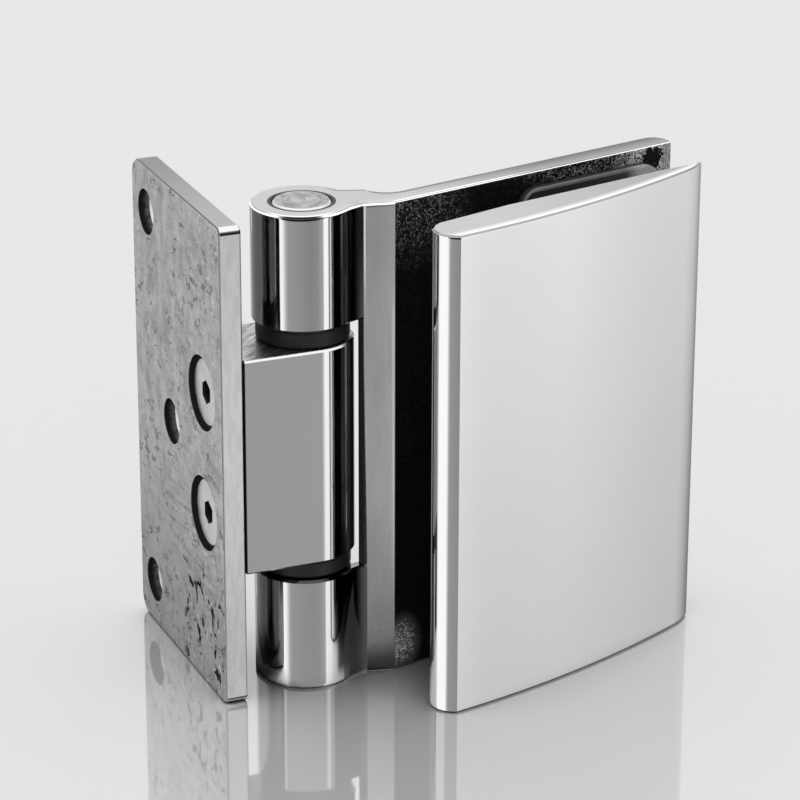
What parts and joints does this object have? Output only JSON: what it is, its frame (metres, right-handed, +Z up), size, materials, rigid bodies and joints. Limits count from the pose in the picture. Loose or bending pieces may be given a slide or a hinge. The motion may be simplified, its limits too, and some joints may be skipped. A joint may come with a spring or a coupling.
{
  "type": "shower door hinge",
  "caption": "Polished wall-to-glass shower door hinge with an offset wall plate, a pin knuckle and a leaf and curved cover that clamp the glass.",
  "frame": {"origin": "on the wall face of the wall plate, level with the pin's axis and at mid-height", "axes": "+X out of the wall, +Y along the wall towards the plate's wide side, +Z up along the pin"},
  "size_m": [0.0942, 0.0648, 0.0902],
  "materials": {
    "plate_steel": "satin back with casting pits and scratches, polished edges",
    "polished_steel": "mirror polished stainless steel",
    "leaf_steel": "mirror polished outside, satin strip, rough dark casting on the inner face",
    "cover_steel": "mirror polished stainless steel",
    "pin_steel": "turned satin steel",
    "screw_steel": "plain stainless screw steel",
    "bush_plastic": "matte black",
    "gasket_rubber": "smooth dark sheet",
    "sleeve_plastic": "natural moulded plastic"
  },
  "bodies": {
    "wall_side": {"wall_plate": "plate_steel", "plate_screws": "screw_steel", "knuckle_block": "polished_steel", "upper_bush": "bush_plastic", "lower_bush": "bush_plastic"},
    "leaf_side": {"hinge_leaf": "leaf_steel", "hinge_pin": "pin_steel", "cover_plate": "cover_steel", "leaf_gasket": "gasket_rubber", "cover_gasket": "gasket_rubber", "clamp_screws": "screw_steel", "screw_sleeves": "sleeve_plastic"}
  },
  "joints": [
    {"name": "leaf_swing", "type": "hinge", "parent": "wall_side", "child": "leaf_side", "pos_m": [0.0188, 0, 0], "axis": [0, 0, 1], "range_deg": [-57.4, 77.6]}
  ]
}
